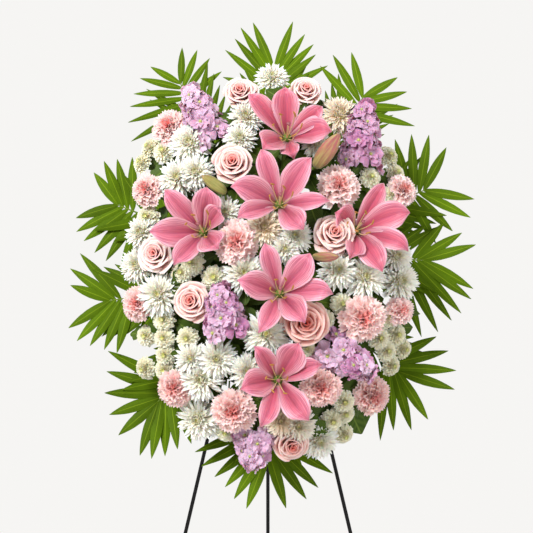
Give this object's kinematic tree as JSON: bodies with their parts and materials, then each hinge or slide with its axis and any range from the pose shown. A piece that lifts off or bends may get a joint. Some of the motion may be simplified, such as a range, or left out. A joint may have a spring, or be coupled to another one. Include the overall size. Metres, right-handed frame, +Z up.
{
  "type": "standing funeral flower spray",
  "caption": "Oval standing spray of pink lilies, roses, carnations, stock and white chrysanthemums with palm fronds, set in wet foam on a folding black wire easel.",
  "frame": {"origin": "middle of the object's box, on the floor", "axes": "+Z up; -Y is the front, where the flowers face; +X is to the right seen from the front"},
  "size_m": [0.698, 0.6252, 1.6362],
  "materials": {
    "easel_wire": "satin",
    "tie_wire": "satin",
    "tray_plastic": "matte",
    "wet_foam": "matte",
    "lily_petal": "soft sheen",
    "rose_petal": "velvety",
    "carnation_petal": "matte",
    "stock_petal": "matte",
    "mum_petal": "matte",
    "button_petal": "matte",
    "palm_leaf": "satin"
  },
  "bodies": {
    "stand": {"easel_front_frame": "easel_wire", "wire_tie": "tie_wire", "foam_tray": "tray_plastic", "foam_brick": "wet_foam", "lily_1": "lily_petal", "lily_2": "lily_petal", "lily_3": "lily_petal", "lily_4": "lily_petal", "lily_5": "lily_petal", "lily_6": "lily_petal", "rose_1": "rose_petal", "rose_2": "rose_petal", "rose_3": "rose_petal", "rose_4": "rose_petal", "rose_5": "rose_petal", "rose_6": "rose_petal", "rose_7": "rose_petal", "rose_8": "rose_petal", "carnation_1": "carnation_petal", "carnation_2": "carnation_petal", "carnation_3": "carnation_petal", "carnation_4": "carnation_petal", "carnation_5": "carnation_petal", "carnation_6": "carnation_petal", "carnation_7": "carnation_petal", "carnation_8": "carnation_petal", "carnation_9": "carnation_petal", "carnation_10": "carnation_petal", "carnation_11": "carnation_petal", "carnation_12": "carnation_petal", "stock_1": "stock_petal", "stock_2": "stock_petal", "stock_3": "stock_petal", "stock_4": "stock_petal", "stock_5": "stock_petal", "mum_spray_1": "mum_petal", "mum_spray_2": "mum_petal", "mum_spray_3": "mum_petal", "mum_spray_4": "mum_petal", "mum_spray_5": "mum_petal", "mum_spray_6": "mum_petal", "mum_spray_7": "mum_petal", "mum_spray_8": "mum_petal", "button_spray_1": "button_petal", "button_spray_2": "button_petal", "button_spray_3": "button_petal", "button_spray_4": "button_petal", "button_spray_5": "button_petal", "button_spray_6": "button_petal", "frond_top": "palm_leaf", "frond_upper_right": "palm_leaf", "frond_right_upper": "palm_leaf", "frond_right": "palm_leaf", "frond_right_lower": "palm_leaf", "frond_bottom": "palm_leaf", "frond_lower_left": "palm_leaf", "frond_left": "palm_leaf", "frond_left_upper": "palm_leaf", "frond_upper_left": "palm_leaf"},
    "rear_leg": {"easel_rear_leg": "easel_wire"}
  },
  "joints": [
    {"name": "rear_leg_fold", "type": "hinge", "parent": "stand", "child": "rear_leg", "pos_m": [-0.009, 0.01952, 1.21967], "axis": [1, 0, 0], "range_deg": [-23, 0]}
  ]
}
